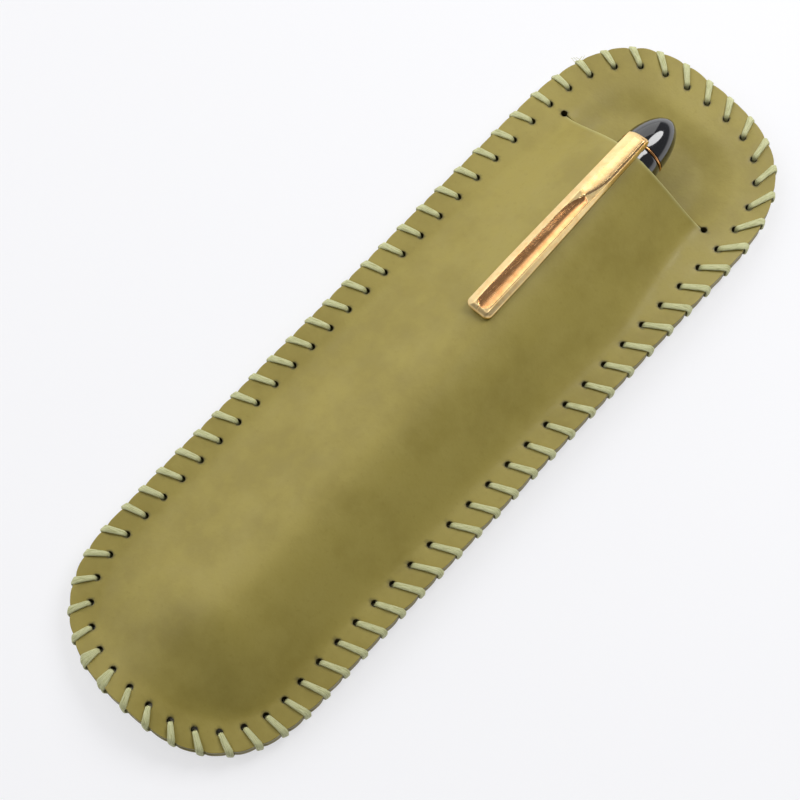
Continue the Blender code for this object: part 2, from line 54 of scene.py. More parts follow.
def softPeak(distance, width):
    return exp(-(distance / width) ** 2)


# Materials. Every pattern reads Object coordinates in metres, or an attribute of the piece itself.


def linearColour(code):
    values = [int(code[place:place + 2], 16) / 255 for place in (1, 3, 5)]
    return tuple(v / 12.92 if v <= 0.04045 else ((v + 0.055) / 1.055) ** 2.4 for v in values) + (1.0,)


def setInputs(tree, node, inputs):
    for key, value in inputs.items():
        if isinstance(value, bpy.types.NodeSocket):
            tree.links.new(value, node.inputs[key])
        else:
            node.inputs[key].default_value = value


def addNode(tree, kind, inputs=None, **settings):
    node = tree.nodes.new("ShaderNode" + kind)
    for key, value in settings.items():
        setattr(node, key, value)
    setInputs(tree, node, inputs or {})
    return node


def startMaterial(name):
    made = bpy.data.materials.new(name)
    made.use_nodes = True
    tree = made.node_tree
    coords = addNode(tree, "TexCoord").outputs["Object"]
    return made, tree, tree.nodes["Principled BSDF"], coords


# Either colour can be a code or the output of a node
def mixColours(tree, share, first, second):
    pair = [linearColour(colour) if isinstance(colour, str) else colour for colour in (first, second)]
    return addNode(tree, "Mix", {0: share, 6: pair[0], 7: pair[1]}, data_type="RGBA").outputs[2]


def remap(tree, value, low, high, newLow=0.0, newHigh=1.0):
    inputs = {0: value, 1: low, 2: high, 3: newLow, 4: newHigh}
    return addNode(tree, "MapRange", inputs, interpolation_type="SMOOTHSTEP").outputs[0]


def combine(tree, how, first, second):
    return addNode(tree, "Math", {0: first, 1: second}, operation=how).outputs[0]


def addNoise(tree, place, scale, detail, roughness, distortion=0.0):
    return addNode(tree, "TexNoise", {
        "Vector": place, "Scale": scale, "Detail": detail, "Roughness": roughness,
        "Distortion": distortion}).outputs["Fac"]


def readShare(tree, attribute):
    return addNode(tree, "Attribute", attribute_name=attribute).outputs["Fac"]


# Each layer has a height, a strength and a depth in metres
def addRelief(tree, shader, *layers):
    below = {}
    for height, strength, distance in layers:
        bump = addNode(tree, "Bump", {
            "Height": height, "Strength": strength, "Distance": distance, **below})
        below = {"Normal": bump.outputs["Normal"]}
    setInputs(tree, shader, below)


leatherLook = {
    "mid": "#9A8B3E", "light": "#A6974A", "dark": "#897A31",
    # the lip's burnish colour is partly a painted highlight
    "flesh": "#9C925C", "cut": "#827740", "burnishAndHighlight": "#B8B274", "holeShade": "#524A22",
    "mottleSize": 0.016, "cloudSize": 0.0035, "grainSize": 0.0005, "poreSize": 0.0009,
    "midShare": 0.55, "cloudShare": 0.35, "poreShare": 0.3,
    "roughness": 0.5, "smoother": 0.05, "rougher": 0.08, "specular": 0.5,
    "grainHeight": 0.00003, "poreHeight": 0.000045, "cloudHeight": 0.00008,
    "grainRelief": 0.35, "poreRelief": 0.4, "cloudRelief": 0.4,
}


# Vegetable-tanned leather: semi-matt olive, softly mottled, with fine pores and a paler flesh side
def vegetableLeather(look):
    made, tree, shader, coords = startMaterial("vegetableTannedLeather")
    mottle = addNoise(tree, coords, 1 / look["mottleSize"], 4.0, 0.6)
    cloud = addNoise(tree, coords, 1 / look["cloudSize"], 3.0, 0.65)
    grain = addNode(tree, "TexVoronoi", {
        "Vector": coords, "Scale": 1 / look["grainSize"], "Randomness": 1.0}, feature="SMOOTH_F1")
    pores = addNoise(tree, coords, 1 / look["poreSize"], 2.0, 0.7)
    base = mixColours(tree, remap(tree, mottle, 0.36, 0.64), look["dark"], look["light"])
    base = mixColours(tree, look["midShare"], base, look["mid"])
    base = mixColours(tree, remap(tree, cloud, 0.4, 0.75, 0.0, look["cloudShare"]), base, look["light"])
    base = mixColours(tree, remap(tree, pores, 0.55, 0.8, 0.0, look["poreShare"]), base, look["dark"])
    # the lip's paler colour is partly a painted highlight
    for part in ("flesh", "cut", "burnishAndHighlight", "holeShade"):
        base = mixColours(tree, readShare(tree, part), base, look[part])
    smooth, rough = look["roughness"] - look["smoother"], look["roughness"] + look["rougher"]
    setInputs(tree, shader, {
        "Base Color": base, "Roughness": remap(tree, cloud, 0.3, 0.7, smooth, rough),
        "Specular IOR Level": look["specular"]})
    addRelief(tree, shader, (grain.outputs["Distance"], look["grainRelief"], look["grainHeight"]),
              (pores, look["poreRelief"], look["poreHeight"]),
              (cloud, look["cloudRelief"], look["cloudHeight"]))
    return made


threadLook = {
    "light": "#CFD0A0", "mid": "#B4B47C", "dark": "#7E7C48",
    "strandCount": 7.0, "strandLength": 0.003, "strandScale": 1.6, "strandBend": 0.4, "darkShare": 0.7,
    "roughness": 0.55, "specular": 0.4, "strandRelief": 0.6, "strandHeight": 0.00012,
}


# Waxed thread: pale filaments laid along it, with a dull shine and darker lines between them
def waxedThread(look):
    made, tree, shader = startMaterial("waxedPolyesterThread")[:3]
    across = combine(tree, "MULTIPLY", readShare(tree, "around"), look["strandCount"])
    length = combine(tree, "MULTIPLY", readShare(tree, "along"), 1 / look["strandLength"])
    place = addNode(tree, "CombineXYZ", {"X": across, "Y": length}).outputs[0]
    strands = addNoise(tree, place, look["strandScale"], 3.0, 0.6, look["strandBend"])
    base = mixColours(tree, remap(tree, strands, 0.35, 0.6), look["mid"], look["light"])
    base = mixColours(tree, remap(tree, strands, 0.45, 0.25, 0.0, look["darkShare"]), base, look["dark"])
    setInputs(tree, shader, {
        "Base Color": base, "Roughness": look["roughness"], "Specular IOR Level": look["specular"]})
    addRelief(tree, shader, (strands, look["strandRelief"], look["strandHeight"]))
    return made


goldLook = {
    # the hollow colours are painted shade and reflection: a darker, more coppery copy of the gold
    "bevel": "#FFE3A6", "bevelDeep": "#F8D08E", "hollow": "#F0B47A", "hollowDeep": "#DE9E62",
    "satin": 0.28, "polish": 0.19, "scratched": 0.3, "hazeSize": 0.0014,
    "scratchLength": 0.004, "scratchWidth": 0.00016, "scratchTurn": 0.35,
    "scratchRelief": 0.2, "scratchHeight": 0.0000001,
}


# Gold plate over brass: satin on the bevels, and polished and finely scratched in the hollow, whose darker,
# more coppery colour is painted shade and reflection
def goldPlate(look, name="goldPlatedBrass"):
    made, tree, shader, coords = startMaterial(name)
    hollow = readShare(tree, "hollow")
    stretched = addNode(tree, "Mapping", {
        "Vector": coords, "Rotation": (0.0, 0.0, look["scratchTurn"]),
        "Scale": (1 / look["scratchWidth"], 1 / look["scratchLength"], 1 / look["scratchWidth"])}).outputs[0]
    scratches = addNoise(tree, stretched, 1.0, 2.0, 0.6)
    haze = remap(tree, addNoise(tree, coords, 1 / look["hazeSize"], 3.0, 0.6), 0.3, 0.8)
    bevel = mixColours(tree, haze, look["bevel"], look["bevelDeep"])
    # painted shade and reflection for the hollow: a darker, more coppery gold
    shadedTone = mixColours(tree, haze, look["hollow"], look["hollowDeep"])
    polished = remap(tree, scratches, 0.5, 0.75, look["polish"], look["scratched"])
    roughness = addNode(tree, "Mix", {0: hollow, 2: look["satin"], 3: polished}).outputs[0]
    setInputs(tree, shader, {
        "Base Color": mixColours(tree, hollow, bevel, shadedTone), "Metallic": 1.0, "Roughness": roughness})
    addRelief(tree, shader, (scratches, look["scratchRelief"], look["scratchHeight"]))
    return made


resinLook = {
    "base": "#0A0B0E", "warm": "#101013", "roughness": 0.075, "haze": 0.13, "hazeSize": 1 / 260,
    "ior": 1.55, "specular": 0.6, "coat": 1.0,
}


# Polished resin: near black and as sharp as a mirror under its clear coat, with a faint haze from handling
def polishedResin(look, name="polishedBlackResin"):
    made, tree, shader, coords = startMaterial(name)
    haze = addNoise(tree, coords, 1 / look["hazeSize"], 4.0, 0.6)
    setInputs(tree, shader, {
        "Base Color": mixColours(tree, haze, look["base"], look["warm"]),
        "Roughness": remap(tree, haze, 0.45, 0.8, look["roughness"], look["haze"]),
        "IOR": look["ior"], "Specular IOR Level": look["specular"],
        "Coat Weight": look["coat"], "Coat Roughness": look["roughness"]})
    return made


linerLook = {**resinLook, "base": "#16171B", "warm": "#1E1F24", "roughness": 0.35, "haze": 0.5}
nibLook = {**goldLook, "bevel": "#EBC27E", "bevelDeep": "#DDB070", "satin": 0.16}

leatherSurface = vegetableLeather(leatherLook)
threadSurface = waxedThread(threadLook)
goldSurface = goldPlate(goldLook)
resinSurface = polishedResin(resinLook)
linerSurface = polishedResin(linerLook, "mouldedLiner")  # as moulded, so duller and greyer than the outside
nibSurface = goldPlate(nibLook, "polishedNibGold")  # a deeper gold, polished brighter than the clip
print("materials made")


# Helpers for meshes


def addObject(name, data):
    made = bpy.data.objects.new(name, data)
    bpy.context.scene.collection.objects.link(made)
    return made


def sceneObject(name, bm):
    mesh = bpy.data.meshes.new(name)
    bm.to_mesh(mesh)
    bm.free()
    return addObject(name, mesh)


def bevel(width, segments, degrees):
    return "BEVEL", {"width": width, "segments": segments, "limit_method": "ANGLE",
                     "angle_limit": radians(degrees)}


# Applies the modifiers, gives the piece its material and body, and hides the CAD solid that it stands in for
def finishPiece(name, bm, surface, body, node, sharpDegrees, modifiers=()):
    piece = sceneObject(name, bm)
    for kind, settings in modifiers:
        modifier = piece.modifiers.new(kind.lower(), kind)
        for key, value in settings.items():
            setattr(modifier, key, value)
    if modifiers:
        bpy.context.view_layer.update()
        shaped = bpy.data.meshes.new_from_object(piece.evaluated_get(bpy.context.evaluated_depsgraph_get()))
        piece.modifiers.clear()
        plain, piece.data = piece.data, shaped
        bpy.data.meshes.remove(plain)
        shaped.name = name
    piece.data.materials.clear()
    piece.data.materials.append(surface)
    piece.data.shade_smooth()
    piece.data.set_sharp_from_angle(angle=radians(sharpDegrees))
    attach(piece, body)
    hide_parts(node)
    return piece


def settle(bm, place=None):
    bmesh.ops.recalc_face_normals(bm, faces=bm.faces[:])
    if place:
        bmesh.ops.transform(bm, matrix=place, verts=bm.verts[:])


def setAttribute(mesh, name, values):
    attribute = mesh.attributes.new(name, "FLOAT", "POINT")
    attribute.data.foreach_set("value", values)


# The case: the forms of its two leather sheets

case = {
    "halfWidth": 0.026, "length": 0.168,
    "topEnd": 0.032, "topPower": 2.85, "bottomEnd": 0.0257, "bottomPower": 2.44,
    "leather": 0.0014, "layerGap": 0.0003, "rimBand": 0.0056,
    "dishOuter": 0.0078, "dishInner": 0.015,
    "sideLift": 0.0022, "endLift": 0.001, "liftStart": 0.04, "liftEnd": 0.072,
    "slitY": 0.0592, "slitX": -0.0007, "slitHalf": 0.0181, "slitKerf": 0.0002,
    "pullBack": 0.002, "pullFade": 0.045,
    "lipFlat": 0.001, "lipFade": 0.03, "crestPower": 1.75, "footPower": 1.55, "pocketMargin": 0.0006,
    "levelStart": 0.012, "crestShift": 0.0029, "shiftFade": 0.069, "crestFall": 0.001,
    "ridgeHeight": 0.0026, "ridgeHalf": 0.018, "ridgeLength": 0.019, "ridgeX": 0.0015, "endDish": 0.0195,
    "stopHole": 0.00066, "edgeRound": 0.00028, "roundedFrom": 55,
    "edgeWander": 0.00012, "edgeWaves": 350.0, "edgeBand": 0.003,
    "sheetWander": 0.00012, "sheetWaves": 70.0, "sheetBand": 0.004,
}
pen = {
    "x": -0.00085, "yaw": radians(0.6), "mouthY": 0.0055, "restHeight": 0.0073, "slope": 0.04395,
    "capRadius": 0.0056,
}
case["stack"] = 2 * case["leather"] + case["layerGap"]
case["topY"] = case["length"] / 2 - case["topEnd"]
case["bottomY"] = case["bottomEnd"] - case["length"] / 2


# How far the outline is from the centre of an end, which is "top" or "bottom"
def endRadius(angle, end):
    power = case[end + "Power"]
    across = abs(cos(angle)) / case["halfWidth"]
    along = abs(sin(angle)) / case[end + "End"]
    return (across ** power + along ** power) ** (-1.0 / power)


# Position 0 to 1 is the right side, 1 to 2 the mouth end, 2 to 3 the left side and 3 to 4 the bottom end
def outlinePoint(position, inset):
    place = position % 4.0
    side = case["halfWidth"] - inset
    if place < 1.0:
        return Vector((side, blend(case["bottomY"], case["topY"], place), 0.0))
    if 2.0 <= place < 3.0:
        return Vector((-side, blend(case["topY"], case["bottomY"], place - 2.0), 0.0))
    end, angle = ("top", pi * (place - 1.0)) if place < 2.0 else ("bottom", pi * (place - 2.0))
    radius = endRadius(angle, end) - inset
    return Vector((radius * cos(angle), case[end + "Y"] + radius * sin(angle), 0.0))


# Pairs of a position and the length walked to it, once round the case
def makeTrack(inset, samples=1600):
    track = [(0.0, 0.0)]
    length = 0.0
    last = outlinePoint(0.0, inset)
    for sample in range(1, samples + 1):
        position = 4.0 * sample / samples
        point = outlinePoint(position, inset)
        length += (point - last).length
        track.append((position, length))
        last = point
    return track


# The position at a length, found by halving
def positionAt(track, length):
    wanted = length % track[-1][1]
    low, high = 0, len(track) - 1
    while high - low > 1:
        middle = (low + high) // 2
        if track[middle][1] <= wanted:
            low = middle
        else:
            high = middle
    return blend(track[low][0], track[high][0], (wanted - track[low][1]) / (track[high][1] - track[low][1]))


# How far a place lies in from the edge
def insetAt(x, y):
    past = max(y - case["topY"], case["bottomY"] - y, 0.0)
    radius = hypot(x, past)
    if past == 0.0 or radius < 1e-6:
        return case["halfWidth"] - abs(x)
    return endRadius(atan2(past, x), "top" if y > 0.0 else "bottom") - radius


def halfWidthAt(y):
    end = "top" if y > 0.0 else "bottom"
    past = abs(y) - abs(case[end + "Y"])
    if past <= 0.0:
        return case["halfWidth"]
    power = case[end + "Power"]
    return case["halfWidth"] * (1.0 - min(1.0, past / case[end + "End"]) ** power) ** (1.0 / power)


# 1 at the bottom end, where the leather rises in a low ridge past the pocket
def ridgeShare(y):
    return ease((case["bottomY"] - y) / case["ridgeLength"])


# The rim is lifted off the table: most along the sides, least at the ends
def rimLift(x, y):
    share = ease((abs(y) - case["liftStart"]) / (case["liftEnd"] - case["liftStart"]))
    across = 1.0 - ease(abs(x - case["ridgeX"]) / case["ridgeHalf"])
    return blend(case["sideLift"], case["endLift"], share) + case["ridgeHeight"] * across * ridgeShare(y)


# The back sheet is flat in the middle and dished up to its rim
def backHeight(x, y):
    inner = blend(case["dishInner"], case["endDish"], ridgeShare(y))
    share = ease((inner - insetAt(x, y)) / (inner - case["dishOuter"]))
    return rimLift(x, y) * share


def penHeight(y):
    return pen["restHeight"] + (y - pen["mouthY"]) * pen["slope"]


def penCentre(y):
    return pen["x"] - (y - case["slitY"]) * tan(pen["yaw"])


# The top of the front sheet over the pen: it follows the cap, then levels out and falls toward the bottom
def crestHeight(y):
    past = y - pen["mouthY"]
    level = pen["mouthY"] + (past + hypot(past, case["levelStart"])) / 2
    fall = case["crestFall"] * ease((pen["mouthY"] - y) / (pen["mouthY"] - case["bottomY"]))
    return penHeight(level) + pen["capRadius"] + case["pocketMargin"] + case["leather"] - fall


# Where the bulge meets the flat rim: just inside the ends of the slit at the lip, farther out below it
def pocketFoot(y, side):
    lip = side * case["slitX"] + case["slitHalf"] - case["lipFlat"]
    low = halfWidthAt(y) - case["rimBand"]
    return side * min(low, blend(lip, low, ease((case["slitY"] - y) / case["lipFade"])))


# How far the front sheet bulges above its flat state, in rounded slopes from the crest to the foot
def pocketRise(x, y):
    along = max(y, case["bottomY"])
    centre = penCentre(along) + case["crestShift"] * ease((case["slitY"] - along) / case["shiftFade"])
    height = crestHeight(along) - rimLift(x, y) - case["stack"]
    if y >= case["bottomY"]:
        foot = pocketFoot(y, 1.0 if x > centre else -1.0)
        share = (x - centre) / (foot - centre)
    else:
        angle = atan2(case["bottomY"] - y, x - centre)
        reach = endRadius(angle, "bottom") - case["rimBand"] - centre * cos(angle)
        share = hypot(x - centre, case["bottomY"] - y) / reach
    return height * (1.0 - min(1.0, share) ** case["crestPower"]) ** case["footPower"]


# Where the stitches lie, given in millimetres at twelve places round the case: how far each runs ahead of
# an even spacing, how far in from the edge its hole is, and how far it leans on its way to the edge

seam = {
    "count": 74, "inset": 0.0041, "holeRadius": 0.00066,
    "leads": (-0.03, -0.19, 0.12, 0.58, 1.01, 0.91, 0.99, 1.43, 1.47, 1.48, 1.21, 0.67),
    "insets": (4.9, 4.9, 4.55, 4.4, 3.8, 3.85, 3.75, 4.05, 4.2, 4.3, 3.8, 3.2),
    "leans": (1.6, 2.7, 1.9, 3.3, 2.6, 2.3, 1.2, 1.1, 2.0, 1.5, 1.2, 1.4), "leanSpread": 0.0005,
    "grooveDepth": 0.0001, "grooveWidth": 0.0006, "holeDent": 1.3, "holeDentWidth": 0.0009,
    "grooveReachSquared": 0.00004, "edgePull": 0.0003, "pullWidth": 0.0011, "pullRest": 0.4,
}
stitchTrack = makeTrack(seam["inset"])


# A value from a given row, for a stitch between its twelve places
def atStitch(stitch, values):
    place = (stitch % seam["count"]) / seam["count"] * len(values)
    step = int(place)
    return blend(values[step], values[(step + 1) % len(values)], place - step)


def stitchStart(stitch):
    return (stitch + atStitch(stitch, seam["leads"])) * stitchTrack[-1][1] / seam["count"]


def stitchHole(stitch):
    position = positionAt(stitchTrack, stitchStart(stitch))
    return outlinePoint(position, atStitch(stitch, seam["insets"]) / 1000)


# Where on the outline the thread goes over the edge
def stitchCrossing(stitch):
    lean = atStitch(stitch, seam["leans"]) / 1000
    lean += seam["leanSpread"] * noise.noise(Vector((stitch * 2.3, 4.1, 0.0)))
    return positionAt(stitchTrack, stitchStart(stitch) + lean)


holes = [stitchHole(stitch) for stitch in range(seam["count"])]
crossings = [stitchCrossing(stitch) for stitch in range(seam["count"])]
stitchEdges = [outlinePoint(position, 0.0) for position in crossings]
slitEnds = [Vector((case["slitX"] + side * case["slitHalf"], case["slitY"], 0.0)) for side in (-1, 1)]


def segmentDistance(point, start, end):
    along = end - start
    share = min(1.0, max(0.0, (point - start).dot(along) / along.length_squared))
    return (point - start - along * share).length


sheetMesh = {
    "rimSegments": 960, "columnSpacing": 0.00075, "rowSpacing": 0.0008,
    "rimInsets": (0.0, 0.0002, 0.0006, 0.0011, 0.0016, 0.0022, 0.0028, 0.0034, 0.004, 0.0046, 0.0051, 0.0056),
    "lipRows": (0.0021, 0.0014, 0.0008, 0.0004, 0.0), "flapRows": (0.0, 0.0004), "flapStart": 0.001,
    "seamGap": 0.0003, "punchSides": 16, "punchReach": 0.003,
}


def spread(start, end, spacing):
    steps = max(1, round((end - start) / spacing))
    return [blend(start, end, step / steps) for step in range(steps + 1)]


# A flat sheet with rings of vertices along its rim, and inside them a grid with rows and columns on the slit
def sheetBlank():
    blank = bmesh.new()
    outline = makeTrack(0.0)
    total = outline[-1][1]
    count = sheetMesh["rimSegments"]
    positions = [positionAt(outline, total * step / count) for step in range(count)]
    rings = []
    for inset in sheetMesh["rimInsets"]:
        ring = bmesh.ops.create_circle(blank, segments=count, radius=1.0)["verts"]
        for vert, position in zip(ring, positions):
            vert.co = outlinePoint(position, inset)
        rings.append(ring)
    blank.edges.ensure_lookup_table()
    ringEdges = [set(edge for vert in ring for edge in vert.link_edges) for ring in rings]
    for outer, inner in zip(ringEdges, ringEdges[1:]):
        bmesh.ops.bridge_loops(blank, edges=list(outer | inner))
    side = case["halfWidth"] - case["rimBand"]
    slitLeft, slitRight = (end.x for end in slitEnds)
    half = case["slitKerf"] / 2
    spacing = sheetMesh["columnSpacing"]
    xs = spread(-side, slitLeft, spacing) + spread(slitLeft, slitRight, spacing)[1:]
    xs += spread(slitRight, side, spacing)[1:]
    lip = [case["slitY"] - half - drop for drop in sheetMesh["lipRows"]]
    low = -case["length"] / 2 + case["rimBand"]
    high = case["length"] / 2 - case["rimBand"]
    ys = spread(low, lip[0], sheetMesh["rowSpacing"])[:-1] + lip
    ys += [case["slitY"] + half + rise for rise in sheetMesh["flapRows"]]
    ys += spread(case["slitY"] + half + sheetMesh["flapStart"], high, sheetMesh["rowSpacing"])
    grid = bmesh.ops.create_grid(blank, x_segments=len(xs) - 1, y_segments=len(ys) - 1, size=0.5)["verts"]
    for vert in grid:
        column = round((vert.co.x + 0.5) * (len(xs) - 1))
        row = round((vert.co.y + 0.5) * (len(ys) - 1))
        vert.co = (xs[column], ys[row], 0.0)
    limit = case["rimBand"] + sheetMesh["seamGap"]
    outside = [vert for vert in grid if insetAt(*vert.co.xy) < limit]
    bmesh.ops.delete(blank, geom=outside, context="VERTS")
    grid = [vert for vert in blank.verts if insetAt(*vert.co.xy) >= limit]
    border = [edge for edge in set(edge for vert in grid for edge in vert.link_edges) if edge.is_boundary]
    inner = [edge for edge in ringEdges[-1] if edge.is_valid and edge.is_boundary]
    bmesh.ops.triangle_fill(blank, use_beauty=True, use_dissolve=False, edges=border + inner)
    settle(blank)
    if sum(face.normal.z for face in blank.faces) < 0:
        bmesh.ops.reverse_faces(blank, faces=blank.faces[:])
    return blank


# Presses grooves along the thread's runs into the rim and pulls the edge in under each stitch
def pressRim(blank, sign, runs):
    for vert in blank.verts:
        inset = insetAt(*vert.co.xy)
        if inset > case["rimBand"]:
            continue
        flat = vert.co.xy.to_3d()
        dent = 0.0
        for start, end in runs:
            if (flat - start).length_squared < seam["grooveReachSquared"]:
                groove = softPeak(segmentDistance(flat, start, end), seam["grooveWidth"])
                hole = seam["holeDent"] * softPeak((flat - start).length, seam["holeDentWidth"])
                dent = max(dent, groove, hole)
        vert.co.z -= sign * seam["grooveDepth"] * dent
        nearest = min((flat - edge).length for edge in stitchEdges)
        pull = seam["edgePull"] * softPeak(nearest, seam["pullWidth"]) - seam["edgePull"] * seam["pullRest"]
        wander = case["edgeWander"] * noise.noise(flat * case["edgeWaves"])
        share = 1.0 - min(1.0, inset / case["edgeBand"])
        centre = Vector((0.0, min(case["topY"], max(case["bottomY"], flat.y)), 0.0))
        vert.co += (centre - flat).normalized() * (pull + wander) * share


# All holes as one cutter
def punchCutter():
    cutter = bmesh.new()
    top = case["sideLift"] + case["stack"] + sheetMesh["punchReach"]
    punches = [(hole, seam["holeRadius"]) for hole in holes]
    for place, radius in punches + [(end, case["stopHole"]) for end in slitEnds]:
        bmesh.ops.create_cone(cutter, cap_ends=True, segments=sheetMesh["punchSides"], radius1=radius,
                              radius2=radius, depth=2 * top, matrix=Matrix.Translation(place))
    return sceneObject("punch", cutter)


paint = {
    "cutBand": 0.0003, "cutFade": 0.0004, "cutFacing": 0.25, "cutTurn": 0.5, "fleshFacing": 0.3,
    "lipEnds": 0.0006, "lipBand": 0.0001, "lipFade": 0.00025, "lipFacing": 0.2,
    # the lip's paler colour is partly a painted highlight, stronger on faces that look up
    "burnishAndHighlight": 0.75, "burnishAndHighlightBelow": 0.3, "holeShade": 0.9, "holeFade": 0.0003,
}


# Gives the vertices the shares that the leather's colours read, among them the slit's lip, paler from
# burnishing and from a painted highlight that is stronger where it faces up; the flesh side faces innerSign
def paintSheet(piece, innerSign):
    half = case["slitHalf"] - paint["lipEnds"]
    shares = {"flesh": [], "cut": [], "burnishAndHighlight": [], "holeShade": []}
    for vert in piece.data.vertices:
        x, y, facing = vert.co.x, vert.co.y, vert.normal.z
        edge = 1.0 - ease((insetAt(x, y) - paint["cutBand"]) / paint["cutFade"])
        upright = 1.0 - ease((abs(facing) - paint["cutFacing"]) / paint["cutTurn"])
        shares["cut"].append(edge * upright)
        shares["flesh"].append(1.0 if facing * innerSign > paint["fleshFacing"] else 0.0)
        # the slit's lip: a paler burnished colour with a painted highlight, stronger where the lip faces up
        burnishAndHighlight = 0.0
        if innerSign < 0 and y < case["slitY"] and abs(x - case["slitX"]) < half:
            rise = pocketRise(x, y) / max(pocketRise(penCentre(y), y), 1e-6)
            lip = case["slitY"] - case["slitKerf"] / 2 - case["pullBack"] * rise
            burnishAndHighlight = softPeak(max(0.0, abs(y - lip) - paint["lipBand"]), paint["lipFade"])
            burnishAndHighlight *= paint["burnishAndHighlight"] if facing > paint["lipFacing"] else paint["burnishAndHighlightBelow"]
        shares["burnishAndHighlight"].append(burnishAndHighlight)
        near = min((vert.co.xy - hole.xy).length for hole in holes + slitEnds) - seam["holeRadius"]
        shares["holeShade"].append(paint["holeShade"] * (1.0 - ease(near / paint["holeFade"])))
    for name, values in shares.items():
        setAttribute(piece.data, name, values)


frontRuns = list(zip(holes, stitchEdges))
backRuns = [(holes[(stitch + 1) % len(holes)], edge) for stitch, edge in enumerate(stitchEdges)]
punch = punchCutter()
sheetFinish = [
    bevel(case["edgeRound"], 3, case["roundedFrom"]),
    ("BOOLEAN", {"operation": "DIFFERENCE", "solver": "EXACT", "object": punch}),
]


# Presses, thickens, rounds, punches and paints a shaped blank
def finishSheet(name, blank, node, sign, runs):
    pressRim(blank, sign, runs)
    solidify = ("SOLIDIFY", {"thickness": case["leather"], "offset": -sign, "use_even_offset": True})
    piece = finishPiece(name, blank, leatherSurface, "case", node, 40,
                        [solidify] + sheetFinish)
    paintSheet(piece, -sign)
    return piece


def makeBackSheet():
    blank = sheetBlank()
    for vert in blank.verts:
        vert.co.z = backHeight(*vert.co.xy)
    return finishSheet("backSheet", blank, "back_panel", -1.0, backRuns)


def makeFrontSheet():
    blank = sheetBlank()
    half = case["slitKerf"] / 2
    strip = []
    for face in blank.faces:
        middle = face.calc_center_median()
        if abs(middle.y - case["slitY"]) < half and abs(middle.x - case["slitX"]) < case["slitHalf"]:
            strip.append(face)
    bmesh.ops.delete(blank, geom=strip, context="FACES")
    for vert in blank.verts:
        x, y = vert.co.x, vert.co.y
        if y < case["slitY"]:
            rise = pocketRise(x, y)
            top = rimLift(x, y) + rise
            crest = max(pocketRise(penCentre(y), y), 1e-6)
            fade = max(0.0, 1.0 - (case["slitY"] - y) / case["pullFade"])
            vert.co.y -= case["pullBack"] * fade * rise / crest
        else:
            top = backHeight(x, y)
        wander = case["sheetWander"] * noise.noise(Vector((x, y, 0.0)) * case["sheetWaves"])
        wander *= ease((insetAt(x, y) - case["rimBand"]) / case["sheetBand"])
        vert.co.z = top + case["stack"] + wander
    return finishSheet("frontSheet", blank, "front_panel", 1.0, frontRuns)


backSheet = makeBackSheet()
frontSheet = makeFrontSheet()
bpy.data.objects.remove(punch)
print("leather sheets made:", len(backSheet.data.polygons), len(frontSheet.data.polygons), "faces")


# The thread: one run over the edge and one run underneath for each stitch

thread = {
    "width": 0.00122, "thickness": 0.00055, "ovalPower": 0.75, "around": 12, "steps": 2, "tilt": 0.105,
    "fromHole": (0.00015, 0.00032, 0.0006, 0.0011), "fromEdge": (0.0001, 0.0008, 0.00002),
    "sinks": (0.00005, 0.0005, 0.0006), "doubled": (64, 65), "doubledShift": 0.00095, "frayed": 34,
}


def sideways(way):
    return Vector((-way.y, way.x, 0.0))


# One stitch as places on its middle line, each with a height, a side, and shares of the width and thickness
def stitchPoints(stitch, shift=0.0):
    thick = thread["thickness"] / 2
    inside, dive, shoulder, landing = thread["fromHole"]
    turnEnd, turn, gap = thread["fromEdge"]
    sinkTurn, sinkDive, sinkEdge = thread["sinks"]
    hole = holes[stitch]
    after = holes[(stitch + 1) % seam["count"]]
    outwards = (outlinePoint(crossings[stitch], -0.001) - stitchEdges[stitch]).normalized()
    edge = stitchEdges[stitch] - sideways(outwards) * shift
    out = (edge - hole).normalized()
    back = (after - edge).normalized()
    sideIn = -sideways((hole - stitchEdges[stitch - 1]).normalized())
    sideOut, sideBack = sideways(out), -sideways(back)
    sideEdge = (sideOut + sideBack).normalized()
    low = rimLift(*hole.xy)
    high, middle = low + case["stack"], low + case["stack"] * 0.5
    reach = (edge - hole).length
    tilt = thread["tilt"] * noise.noise(Vector((stitch * 1.7, 0.3, 0.0)))
    return [
        (hole + out * inside, middle, (sideIn + sideOut).normalized(), 0.8, 1.0),
        (hole + out * dive, high - sinkDive, sideOut, 0.8, 1.0),
        (hole + out * shoulder, high + thick * 0.3, sideOut, 0.84, 1.05),
        (hole + out * landing, high + thick * 0.8, sideOut, 0.92, 1.0),
        (hole + out * reach * 0.5, high + thick * 0.9, sideOut, 1.0 + tilt, 1.0),
        (hole + out * (reach - turn), high + thick * 0.75, sideOut, 1.12, 0.95),
        (edge - out * turnEnd, high - sinkTurn, (sideOut * 2 + sideEdge).normalized(), 1.22, 0.9),
        (edge + outwards * (thick + gap), high - sinkEdge, sideEdge, 1.22, 0.9),
        (edge + outwards * (thick + gap * 2), middle, sideEdge, 1.15, 0.9),
        (edge + outwards * (thick + gap), low + sinkEdge, sideEdge, 1.15, 0.9),
        (edge + back * turnEnd, low + sinkTurn, (sideBack * 2 + sideEdge).normalized(), 1.15, 0.9),
        (edge + back * turn, low - thick * 0.75, sideBack, 1.08, 0.95),
        (blend(edge, after, 0.5), low - thick * 0.9, sideBack, 1.0, 1.0),
        (after - back * landing, low - thick * 0.8, sideBack, 0.95, 1.0),
        (after - back * shoulder, low - thick * 0.3, sideBack, 0.84, 1.05),
        (after - back * dive, low + sinkDive, sideBack, 0.8, 1.0),
    ]


def placed(points):
    return [(Vector((p.x, p.y, z)), side, wide, thickShare) for p, z, side, wide, thickShare in points]


fibre = {"count": 5, "width": 0.00008, "steps": 5, "start": 0.0004, "rise": 0.0002, "spacing": 0.0002,
         "length": 0.0019, "drop": 0.0012, "fan": 0.00054, "wave": 0.0003}


